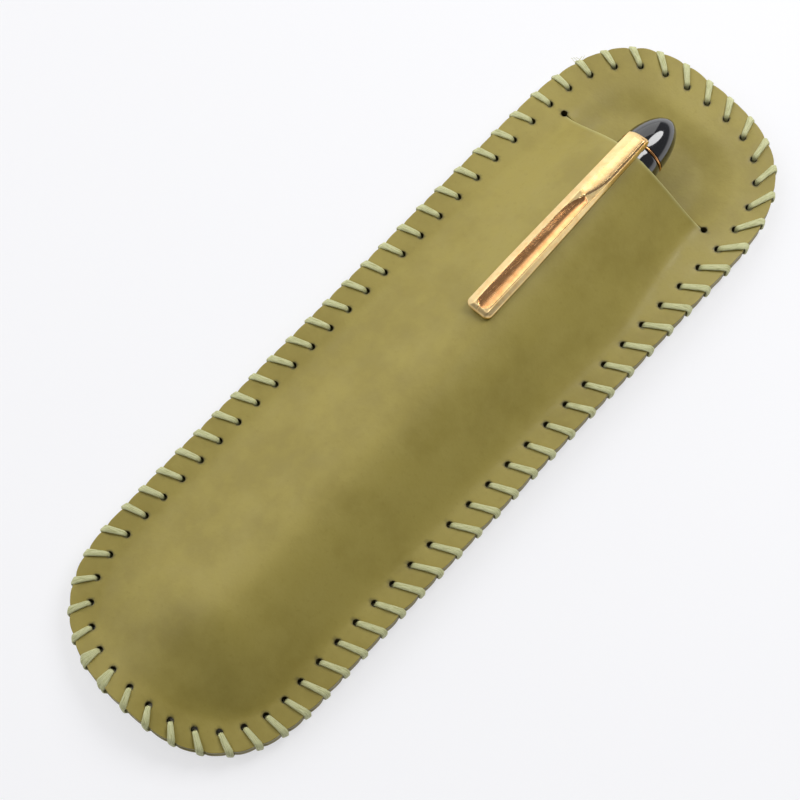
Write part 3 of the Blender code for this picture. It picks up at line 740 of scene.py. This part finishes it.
# Loose ends of filaments where the thread is frayed at the edge
def fibrePoints(strand):
    edge = stitchEdges[thread["frayed"]]
    outwards = (outlinePoint(crossings[thread["frayed"]], -0.001) - edge).normalized()
    along = sideways(outwards)
    fan = strand - fibre["count"] // 2
    start = edge - outwards * fibre["start"] + along * fan * fibre["spacing"]
    height = rimLift(*edge.xy) + case["stack"] + fibre["rise"]
    points = []
    for share in spread(0.0, 1.0, 1 / fibre["steps"]):
        place = start + (outwards * fibre["length"] + along * fan * fibre["fan"]) * share
        place += along * fibre["wave"] * sin(strand * 2.1) * sin(share * 5.0)
        points.append((place, height - fibre["drop"] * share ** 2, along, fibre["width"] / thread["width"],
                       fibre["width"] / thread["thickness"]))
    return points


# Draws a smooth curve through the places, with so many steps from each to the next
def smoothRun(points, steps):
    run = []
    for index in range(len(points) - 1):
        first = points[max(0, index - 1)]
        second, third = points[index], points[index + 1]
        fourth = points[min(len(points) - 1, index + 2)]
        for step in range(steps):
            share = step / steps
            weights = (
                (-share + 2 * share ** 2 - share ** 3) / 2, (2 - 5 * share ** 2 + 3 * share ** 3) / 2,
                (share + 4 * share ** 2 - 3 * share ** 3) / 2, (share ** 3 - share ** 2) / 2)
            place = sum((p[0] * w for p, w in zip((first, second, third, fourth), weights)), Vector())
            side = blend(second[1], third[1], share).normalized()
            run.append((place, side, blend(second[2], third[2], share), blend(second[3], third[3], share)))
    run.append(points[-1])
    return run


# Sweeps a flat oval along each run; the two attributes lay the strands of the thread along it
def sweepThread(runs):
    around = thread["around"]
    bm = bmesh.new()
    alongLayer = bm.verts.layers.float.new("along")
    aroundLayer = bm.verts.layers.float.new("around")
    halfWidth, halfThick = thread["width"] / 2, thread["thickness"] / 2
    for run in runs:
        rows = len(run)
        grid = bmesh.ops.create_grid(bm, x_segments=around, y_segments=rows - 1, size=0.5)["verts"]
        frames = []
        travelled = 0.0
        for index, (place, side, wide, thickShare) in enumerate(run):
            ahead = (run[min(rows - 1, index + 1)][0] - run[max(0, index - 1)][0]).normalized()
            across = (side - ahead * side.dot(ahead)).normalized()
            up = ahead.cross(across)
            if index:
                travelled += (place - run[index - 1][0]).length
            frames.append((place, across * halfWidth * wide, up * halfThick * thickShare, travelled))
        for vert in grid:
            column = round((vert.co.x + 0.5) * around)
            row = round((vert.co.y + 0.5) * (rows - 1))
            place, across, up, travelled = frames[row]
            angle = 2 * pi * column / around
            wide, tall = (copysign(abs(value) ** thread["ovalPower"], value)
                          for value in (cos(angle), sin(angle)))
            vert.co = place + across * wide + up * tall
            vert[alongLayer] = travelled
            vert[aroundLayer] = abs(sin(angle / 2)) * 2 + (0.5 if angle > pi else 0.0)
        bmesh.ops.remove_doubles(bm, verts=grid, dist=1e-6)
    ends = [edge for edge in bm.edges if edge.is_boundary]
    bmesh.ops.holes_fill(bm, edges=ends, sides=around + 2)
    settle(bm)
    return finishPiece("stitchThread", bm, threadSurface, "case", "stitching_thread", 70)


wholeRun = [point for stitch in range(seam["count"]) for point in placed(stitchPoints(stitch))]
threadRuns = [wholeRun + [wholeRun[0]]]
for stitch in thread["doubled"]:  # sewn over twice where the seam starts and ends
    threadRuns.append(placed(stitchPoints(stitch, thread["doubledShift"])))
threadRuns += [placed(fibrePoints(strand)) for strand in range(fibre["count"])]
threadRuns = [smoothRun(run, thread["steps"]) for run in threadRuns]
stitchThread = sweepThread(threadRuns)
print("thread made:", len(stitchThread.data.polygons), "faces")


# The pen, in its own frame: +Y along its axis from the mouth of the cap, +Z toward the clip

penPlace = (Matrix.Translation((penCentre(pen["mouthY"]), pen["mouthY"], pen["restHeight"]))
            @ Matrix.Rotation(pen["yaw"], 4, "Z") @ Matrix.Rotation(atan(pen["slope"]), 4, "X"))


# Turns an outline, in rows of radius and station in millimetres, about the axis of the pen
def turnPiece(name, outline, surface, body, node, steps, edge):
    bm = bmesh.new()
    verts = [bm.verts.new((radius / 1000, station / 1000, 0.0)) for radius, station in outline]
    edges = [bm.edges.new((verts[index - 1], verts[index])) for index in range(len(verts))]
    turning = [item for item in edges if max(vert.co.x for vert in item.verts) > 1e-7]
    bmesh.ops.spin(bm, geom=verts + turning, axis=(0.0, 1.0, 0.0), cent=(0.0, 0.0, 0.0), angle=2 * pi,
                   steps=steps, use_merge=True)
    bmesh.ops.remove_doubles(bm, verts=bm.verts[:], dist=1e-6)
    bmesh.ops.delete(bm, geom=[item for item in bm.edges if not item.link_faces], context="EDGES")
    settle(bm, penPlace)
    rounding = [bevel(edge / 1000, 2, 28)] if edge else []
    return finishPiece(name, bm, surface, body, node, 40, rounding)


turned = {
    "capBody": [
        (4.6, 0.0), (5.4, 0.0), (5.47, 0.8), (5.56, 2.2), (5.6, 4.0), (5.6, 41.0), (5.57, 43.5), (5.5, 46.5),
        (5.38, 49.5), (5.2, 52.3), (5.06, 54.0), (4.98, 54.8), (4.85, 55.2), (2.1, 55.2), (2.1, 45.3),
        (4.6, 45.3)],
    "goldRing": [
        (2.1, 0.0), (4.8, 0.0), (4.9, 0.06), (4.96, 0.16), (4.98, 0.25), (4.96, 0.34), (4.9, 0.44),
        (4.8, 0.5), (2.1, 0.5)],
    "penBarrel": [
        (0.0, -68.8), (0.9, -68.72), (1.6, -68.4), (2.15, -67.75), (2.5, -66.7), (2.66, -65.3), (3.6, -40.0),
        (4.35, -22.0), (4.85, -9.0), (5.05, -3.8), (5.1, -1.6), (5.1, -0.3), (4.3, -0.3), (4.3, 6.0),
        (3.1, 6.0), (3.1, -30.0), (0.0, -30.0)],
    "gripSection": [
        (0.9, -0.7), (2.8, -0.7), (2.8, 6.3), (4.3, 6.3), (4.3, 7.2), (4.12, 9.0), (3.8, 12.0), (3.5, 15.0),
        (3.4, 17.2), (3.48, 18.8), (3.68, 19.8), (3.7, 20.4), (3.62, 20.8), (2.85, 20.8), (2.85, 12.8),
        (0.9, 12.8)],
    "capDome": [(0.0, -7.5), (1.8, -7.5), (1.8, 0.0)],
    "nibFeed": [(0.0, 13.1), (1.9, 13.1), (1.9, 21.2)],
}
capTop = {"length": 55.2, "ringWidth": 0.5, "gap": 0.12}  # the gap is open on both sides of the ring
ringStart = capTop["length"] + capTop["gap"]
starts = {"goldRing": ringStart, "capDome": ringStart + capTop["ringWidth"] + capTop["gap"]}
dome = {"radius": 4.85, "length": 8.66, "power": 1.85, "fullness": 0.56, "steps": 36}
feed = {
    "fins": 9, "spacing": 0.8, "fin": ((1.9, 21.6), (1.9, 22.0), (1.5, 22.05), (1.5, 22.35)),
    "tip": [(1.25, 30.2), (0.9, 32.2), (0.55, 33.1), (0.0, 33.1)],
}
for step in range(dome["steps"] + 1):
    share = sin(pi / 2 * step / dome["steps"])
    radius = dome["radius"] * max(0.0, 1.0 - share ** dome["power"]) ** dome["fullness"]
    turned["capDome"].append((radius, dome["length"] * share))
for fin in range(feed["fins"]):
    turned["nibFeed"] += [(radius, station + fin * feed["spacing"]) for radius, station in feed["fin"]]
turned["nibFeed"] += feed["tip"]
made = {}
for name, body, node, edge, steps in (
        ("capBody", "cap", "cap_tube", 0.08, 96), ("capDome", "cap", "cap_finial", 0.0, 96),
        ("goldRing", "cap", "clip_ring", 0.0, 96), ("penBarrel", "pen", "barrel", 0.08, 96),
        ("gripSection", "pen", "grip_section", 0.08, 96), ("nibFeed", "pen", "feed", 0.0, 48)):
    surface, slot = (goldSurface, "gold_plate") if name == "goldRing" else (resinSurface, "black_resin")
    outline = [(radius, starts.get(name, 0.0) + station) for radius, station in turned[name]]
    made[name] = turnPiece(name, outline, surface, body, node, steps, edge)
ring = made["goldRing"].data
setAttribute(ring, "hollow", [1.0] * len(ring.vertices))  # so that the ring has the hollow's polish and its darker, more coppery painted shade
for node in ("inner_cap", "ink_converter"):  # these two stay the CAD's own solids
    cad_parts[node].data.materials.clear()
    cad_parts[node].data.materials.append(linerSurface)
print("turned pieces made")

nib = {
    "root": 13.1, "length": 23.5, "radius": 2.4, "wrap": 75.0, "shoulder": 0.52, "point": 0.035,
    "taper": 0.85, "belly": 0.25, "thick": 0.00025, "edge": 0.00005, "columns": 24, "rows": 60,
}


# A strip bent round the feed, which narrows from its shoulders to the point
def makeNib():
    bm = bmesh.new()
    radius = nib["radius"] / 1000
    grid = bmesh.ops.create_grid(bm, x_segments=nib["columns"], y_segments=nib["rows"], size=0.5)
    for vert in grid["verts"]:
        share = vert.co.y + 0.5
        narrowing = 1.0
        if share > nib["shoulder"]:
            past = (share - nib["shoulder"]) / (1.0 - nib["shoulder"])
            narrowing = (1.0 - past) ** nib["taper"] * (1.0 + nib["belly"] * past)
        angle = radians(nib["wrap"]) * max(nib["point"], narrowing) * vert.co.x * 2
        station = (nib["root"] + nib["length"] * share) / 1000
        vert.co = (radius * sin(angle), station, radius * cos(angle))
    settle(bm, penPlace)
    return finishPiece("penNib", bm, nibSurface, "pen", "nib", 40, [
        ("SOLIDIFY", {"thickness": nib["thick"], "offset": 0.0}), bevel(nib["edge"], 2, 50)])


makeNib()

# The clip: a formed strip with two unlike bevels, a hollow toward the tip and a rib toward the root, in
# millimetres. Places across it are shares of its half width, and each row starts with its station.

clip = {
    "tip": 8.3, "root": 55.4, "ball": 38.9, "roll": radians(-5.0), "base": 8.0,
    "widths": ((8.3, 5.7), (20.0, 5.65), (30.0, 5.35), (46.0, 4.75), (55.4, 4.45)),
    "creases": ((8.3, -0.47, 0.6), (38.9, -0.45, 0.68), (46.0, -0.29, 0.8), (55.4, -0.12, 0.86)),
    "height": 1.4, "skirt": 0.42, "cornerRadius": 1.35, "tipBevel": 1.0, "tipPower": 0.7,
    "groove": 0.12, "grooveLimit": 0.94, "grooveDepth": 0.1,
    "hollowDepths": ((8.3, 0.12), (22.0, 0.2), (38.9, 0.36)), "hollowRound": 1.7,
    "twistMiddle": 0.14, "twistLength": 5.5, "twistEnd": 0.9,
    # the rib takes a part of the hollow's painted shade
    "ribHeight": 0.26, "ribPeak": 0.84, "ribGroove": 0.07, "ribShade": 0.3,
    "bendStart": 1.0, "bendInside": 0.25, "bendAngles": (12, 24, 36, 48, 60, 72, 82, 90),
    "stemWidth": 3.0, "stemHeight": 0.85, "stemDrops": (0.3, 0.8, 1.4, 2.0, 2.5),
    "ballRadius": 0.42, "ballX": 0.1, "ballSink": 0.1, "bandSteps": (12, 32, 5, 4),
}


# The values of a listed table at a station
def betweenRows(rows, station):
    for first, second in zip(rows, rows[1:]):
        if station <= second[0]:
            break
    share = min(1.0, max(0.0, (station - first[0]) / (second[0] - first[0])))
    return [blend(low, high, share) for low, high in zip(first[1:], second[1:])]


def clipHalfWidth(station):
    half = betweenRows(clip["widths"], station)[0] / 2
    radius = clip["cornerRadius"]
    past = station - clip["tip"]
    if past < radius:
        half -= radius - sqrt(max(0.0, radius ** 2 - (radius - past) ** 2))
    return half


def twisted(place, past, length):
    return blend(place, clip["twistMiddle"], (1.0 - min(1.0, past / clip[length])) ** 2)


# The hollow is round at the tip; at the ball its left edge swings over, and so does the rib's right edge
def hollowEdges(station):
    left, right = betweenRows(clip["creases"], station)
    middle = (left + right) / 2
    fromTip = (station - clip["tip"] - clip["tipBevel"]) / clip["hollowRound"]
    fromBall = clip["ball"] - station
    if min(fromTip, fromBall) <= 0.0:
        return 0.0, 0.0
    roundness = sqrt(1.0 - (1.0 - min(1.0, fromTip)) ** 2)
    left, right = middle + (left - middle) * roundness, middle + (right - middle) * roundness
    return twisted(left, fromBall, "twistLength"), twisted(right, fromBall, "twistEnd")


def ribEdges(station):
    left, right = betweenRows(clip["creases"], station)
    past = station - clip["ball"]
    if past <= 0.0:
        return 0.0, 0.0
    return twisted(left, past, "twistEnd"), twisted(right, past, "twistLength")


# Height of the upper side at a place, and its share of the hollow's polish and darker, more coppery painted
# shade
def clipTop(u, station):
    leftCrease, rightCrease = betweenRows(clip["creases"], station)
    rightBevel = min(clip["grooveLimit"], rightCrease + clip["groove"])
    left = blend(clip["skirt"], clip["height"], min(1.0, (u + 1.0) / (leftCrease + 1.0)))
    right = blend(clip["skirt"], clip["height"], min(1.0, (1.0 - u) / (1.0 - rightBevel)))
    tipShare = (station - clip["tip"]) / clip["tipBevel"]
    tipRise = blend(clip["skirt"], clip["height"], min(1.0, max(0.0, tipShare) ** clip["tipPower"]))
    height = min(left, right, tipRise)
    full = (rightCrease - leftCrease) / 2
    start, end = hollowEdges(station)
    if start < u < end:
        reach = (end - start) / 2
        depth = betweenRows(clip["hollowDepths"], station)[0] * (reach / full) ** 0.5
        # the whole hollow takes the darker, more coppery painted shade
        return height - depth * (1.0 - ((u - start) / reach - 1.0) ** 2), 1.0
    start, end = ribEdges(station)
    if start - clip["ribGroove"] < u < start:
        height -= clip["grooveDepth"] * sin(pi * (start - u) / clip["ribGroove"])
    if start < u < end:
        share = (u - start) / (end - start)
        peak = clip["ribPeak"]
        lean = share / peak if share < peak else (1.0 - share) / (1.0 - peak)
        rise = clip["ribHeight"] * sin(pi / 2 * lean)
        # the rib takes a part of the hollow's painted shade
        return height + rise * ((end - start) / 2 / full) ** 0.5, clip["ribShade"]
    if rightCrease < u < rightBevel:
        dip = clip["grooveDepth"] * sin(pi * (u - rightCrease) / (rightBevel - rightCrease))
        height -= dip * min(1.0, max(0.0, tipShare - 1.0))
    return height, 0.0


# The columns follow the creases, in the left bevel, the middle, the groove and the right bevel
def clipColumns():
    bands = [(0, 0.0)]
    for band, steps in enumerate(clip["bandSteps"]):
        bands += [(band, share) for share in spread(0.0, 1.0, 1 / steps)[1:]]
    return [("low", 0, 0.0), ("side", 0, 0.0)] + [("top", band, share) for band, share in bands] + [
        ("side", 3, 1.0), ("low", 3, 1.0), ("low", 1, 0.7), ("low", 1, 0.3)]


def columnPlace(band, share, station):
    left, right = betweenRows(clip["creases"], station)
    limits = (-1.0, left, right, min(clip["grooveLimit"], right + clip["groove"]), 1.0)
    return blend(limits[band], limits[band + 1], share)


# The stations along the strip lie closest at its tip and its ball, then it bends down into the stem
def clipPath():
    tip, ball, bend = clip["tip"], clip["ball"], clip["root"] - clip["bendStart"]
    stations = [tip + 0.02, tip + 0.07, tip + 0.16] + [tip + 0.3 + 0.1 * step for step in range(26)]
    for start, end, spacing in ((tip + 3.0, ball - 5.6, 0.3), (ball - 5.4, ball - 1.2, 0.2),
                                (ball - 1.1, ball + 1.1, 0.08), (ball + 1.3, ball + 5.5, 0.2),
                                (ball + 5.8, bend, 0.3)):
        stations += spread(start, end, spacing)
    path = [(station, 0.0, 0.0) for station in stations]
    path += [(bend, angle, 0.0) for angle in clip["bendAngles"]]
    return path + [(bend, 90, drop) for drop in clip["stemDrops"]]


def makeClip():
    columnList, path = clipColumns(), clipPath()
    inner = clip["bendInside"]
    bm = bmesh.new()
    hollowLayer = bm.verts.layers.float.new("hollow")
    columns, rows = len(columnList), len(path) - 1
    grid = bmesh.ops.create_grid(bm, x_segments=columns, y_segments=rows, size=0.5)["verts"]
    for vert in grid:
        column = round((vert.co.x + 0.5) * columns) % columns
        station, angle, drop = path[round((vert.co.y + 0.5) * rows)]
        role, band, share = columnList[column]
        u = columnPlace(band, share, station)
        half = clipHalfWidth(station)
        top, hollow = clipTop(u, station)
        if role != "top":
            top, hollow = (0.0 if role == "low" else clip["skirt"] * 0.5), 0.0
        bendShare = min(1.0, angle / 90)
        if bendShare > 0.0:
            top = blend(top, min(top, clip["stemHeight"]), bendShare)
            half = blend(half, clip["stemWidth"] / 2, ease((bendShare - 0.35) * 0.6 + drop * 0.4))
        turn = radians(angle)
        y = station + (inner + top) * sin(turn)
        z = clip["base"] - inner + (inner + top) * cos(turn) - drop
        vert.co = (u * half / 1000, y / 1000, z / 1000)
        # the share of the hollow's polish and painted shade
        vert[hollowLayer] = hollow
    bmesh.ops.remove_doubles(bm, verts=bm.verts[:], dist=1e-6)
    bmesh.ops.holes_fill(bm, edges=[edge for edge in bm.edges if edge.is_boundary], sides=0)
    ballHeight = clip["base"] + clip["height"] - clip["ballSink"]
    ballPlace = Matrix.Translation((clip["ballX"] / 1000, clip["ball"] / 1000, ballHeight / 1000))
    bmesh.ops.create_uvsphere(bm, u_segments=20, v_segments=12, radius=clip["ballRadius"] / 1000,
                              matrix=ballPlace)
    settle(bm, penPlace @ Matrix.Rotation(clip["roll"], 4, "Y"))
    return finishPiece("pocketClip", bm, goldSurface, "clip", "pocket_clip", 50)


makeClip()
print("clip made")


# Floor, light and camera

studio = {
    "floor": "#FCFCFE", "floorRoughness": 0.9, "floorSpecular": 0.1, "floorGlow": 0.65, "floorHalf": 3.0,
    "shadeRadius": 0.0245, "shadeHalf": 0.058, "shadeSoft": 0.001,
    "worldLow": "#F4F5F8", "worldHigh": "#75767A", "worldStart": 0.02, "worldEnd": 0.14,
}


# White paper: matt, with an even glow away from the case, and under it the soft shadow of contact
def makeFloor():
    bm = bmesh.new()
    bmesh.ops.create_grid(bm, x_segments=1, y_segments=1, size=studio["floorHalf"])
    floor = sceneObject("floor", bm)
    made, tree, shader, coords = startMaterial("whitePaperFloor")
    setInputs(tree, shader, {
        "Base Color": linearColour(studio["floor"]), "Roughness": studio["floorRoughness"],
        "Specular IOR Level": studio["floorSpecular"]})
    rays = addNode(tree, "LightPath").outputs
    seen = combine(tree, "MAXIMUM", rays["Is Camera Ray"], rays["Is Glossy Ray"])
    seen = combine(tree, "MAXIMUM", seen, rays["Is Transmission Ray"])
    place = addNode(tree, "VectorMath", {0: coords}, operation="ABSOLUTE").outputs[0]
    for how, other in (("SUBTRACT", (0.0, studio["shadeHalf"], 0.0)), ("MAXIMUM", (0.0, 0.0, 0.0))):
        place = addNode(tree, "VectorMath", {0: place, 1: other}, operation=how).outputs[0]
    away = addNode(tree, "VectorMath", {0: place}, operation="LENGTH").outputs["Value"]
    radius, soft = studio["shadeRadius"], studio["shadeSoft"]
    bare = remap(tree, away, radius - soft, radius + soft, 0.0, studio["floorGlow"])
    glow = addNode(tree, "Emission", {"Color": linearColour(studio["floor"]), "Strength": 1.0})
    both = addNode(tree, "MixShader", {
        0: combine(tree, "MULTIPLY", seen, bare), 1: shader.outputs[0], 2: glow.outputs[0]})
    tree.links.new(both.outputs[0], tree.nodes["Material Output"].inputs["Surface"])
    floor.data.materials.append(made)


# Pale near the horizon and grey above, so that the resin and the gold have something dark to show
def makeWorld():
    world = bpy.data.worlds.new("paleStudio")
    world.use_nodes = True
    tree = world.node_tree
    direction = addNode(tree, "TexCoord").outputs["Generated"]
    height = addNode(tree, "SeparateXYZ", {0: direction}).outputs["Z"]
    share = remap(tree, height, studio["worldStart"], studio["worldEnd"])
    colour = mixColours(tree, share, studio["worldLow"], studio["worldHigh"])
    setInputs(tree, tree.nodes["Background"], {"Color": colour, "Strength": 1.0})
    bpy.context.scene.world = world


# Azimuth 0 looks from the bottom end of the case, and 90 from its right side
def directionFrom(azimuth, elevation):
    a, e = radians(azimuth), radians(elevation)
    return Vector((sin(a) * cos(e), -cos(a) * cos(e), sin(e)))


softboxes = (
    {"name": "keySoftbox", "azimuth": -70, "elevation": 42, "distance": 1.2,
     "width": 1.7, "height": 1.3, "radiance": 1.1},
    {"name": "sideCard", "azimuth": -128, "elevation": 28, "distance": 1.2,
     "width": 1.25, "height": 1.0, "radiance": 1.0},
    {"name": "topSoftbox", "shape": "ELLIPSE", "azimuth": 168, "elevation": 51, "distance": 0.5,
     "width": 0.26, "height": 0.4, "radiance": 6.6, "target": (0.0, 0.06, 0.01)},
)


def makeSoftbox(box):
    data = bpy.data.lights.new(box["name"], "AREA")
    data.shape = box.get("shape", "RECTANGLE")
    data.size, data.size_y = box["width"], box["height"]
    roundShare = pi / 4 if data.shape == "ELLIPSE" else 1.0
    data.energy = box["radiance"] * pi * box["width"] * box["height"] * roundShare
    lamp = addObject(box["name"], data)
    away = directionFrom(box["azimuth"], box["elevation"])
    lamp.location = Vector(box.get("target", (0.0, 0.0, 0.0))) + away * box["distance"]
    lamp.rotation_euler = away.to_track_quat("Z", "Y").to_euler()


view = {
    "azimuth": 42.7, "elevation": 72.0, "distance": 0.5, "target": (0.0, 0.0, 0.0034), "left": 0.00596,
    "down": 0.00249, "lens": 118.166, "sensor": 36.0, "nearest": 0.01,
}


def makeCamera():
    data = bpy.data.cameras.new("camera")
    data.sensor_width = view["sensor"]
    data.lens = view["lens"]
    data.clip_start = view["nearest"]
    camera = addObject("camera", data)
    back = directionFrom(view["azimuth"], view["elevation"])
    azimuth = radians(view["azimuth"])
    right = Vector((cos(azimuth), sin(azimuth), 0.0))
    up = back.cross(right)
    place = Vector(view["target"]) + back * view["distance"] - right * view["left"] - up * view["down"]
    turn = Matrix((right, up, back)).transposed().to_4x4()
    camera.matrix_world = Matrix.Translation(place) @ turn
    bpy.context.scene.camera = camera


makeFloor()
makeWorld()
for box in softboxes:
    makeSoftbox(box)
makeCamera()
bpy.context.scene.view_settings.view_transform = "Standard"
print("stage made")
